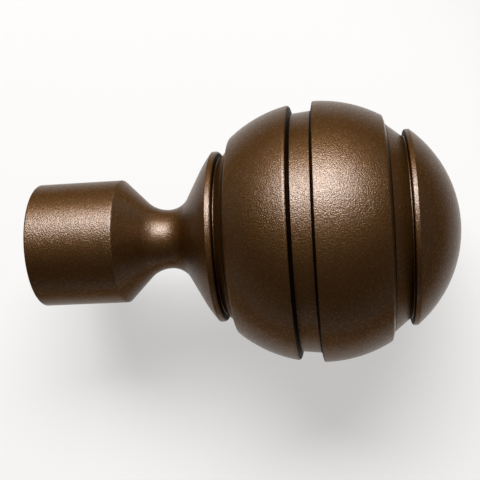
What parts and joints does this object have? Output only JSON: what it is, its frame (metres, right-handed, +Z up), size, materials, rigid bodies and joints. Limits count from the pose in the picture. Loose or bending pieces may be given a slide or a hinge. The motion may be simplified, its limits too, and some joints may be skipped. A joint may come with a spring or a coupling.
{
  "type": "curtain pole finial",
  "caption": "Turned metal finial with a plain collar, waisted neck, lipped saucer, banded ball and lipped cap. Its socket slips over the end of a curtain pole and a grub screw clamps it.",
  "frame": {"origin": "centre of the socket's mouth, on the pole's axis", "axes": "+X along the pole's axis from the socket's mouth to the tip of the cap, +Z up and away from the grub screw"},
  "size_m": [0.1143, 0.07, 0.07],
  "materials": {
    "bronze_paint": "textured bronze paint, satin",
    "screw_steel": "black oxide steel"
  },
  "bodies": {
    "root": {"finial_body": "bronze_paint", "grub_screw": "screw_steel"}
  },
  "joints": []
}
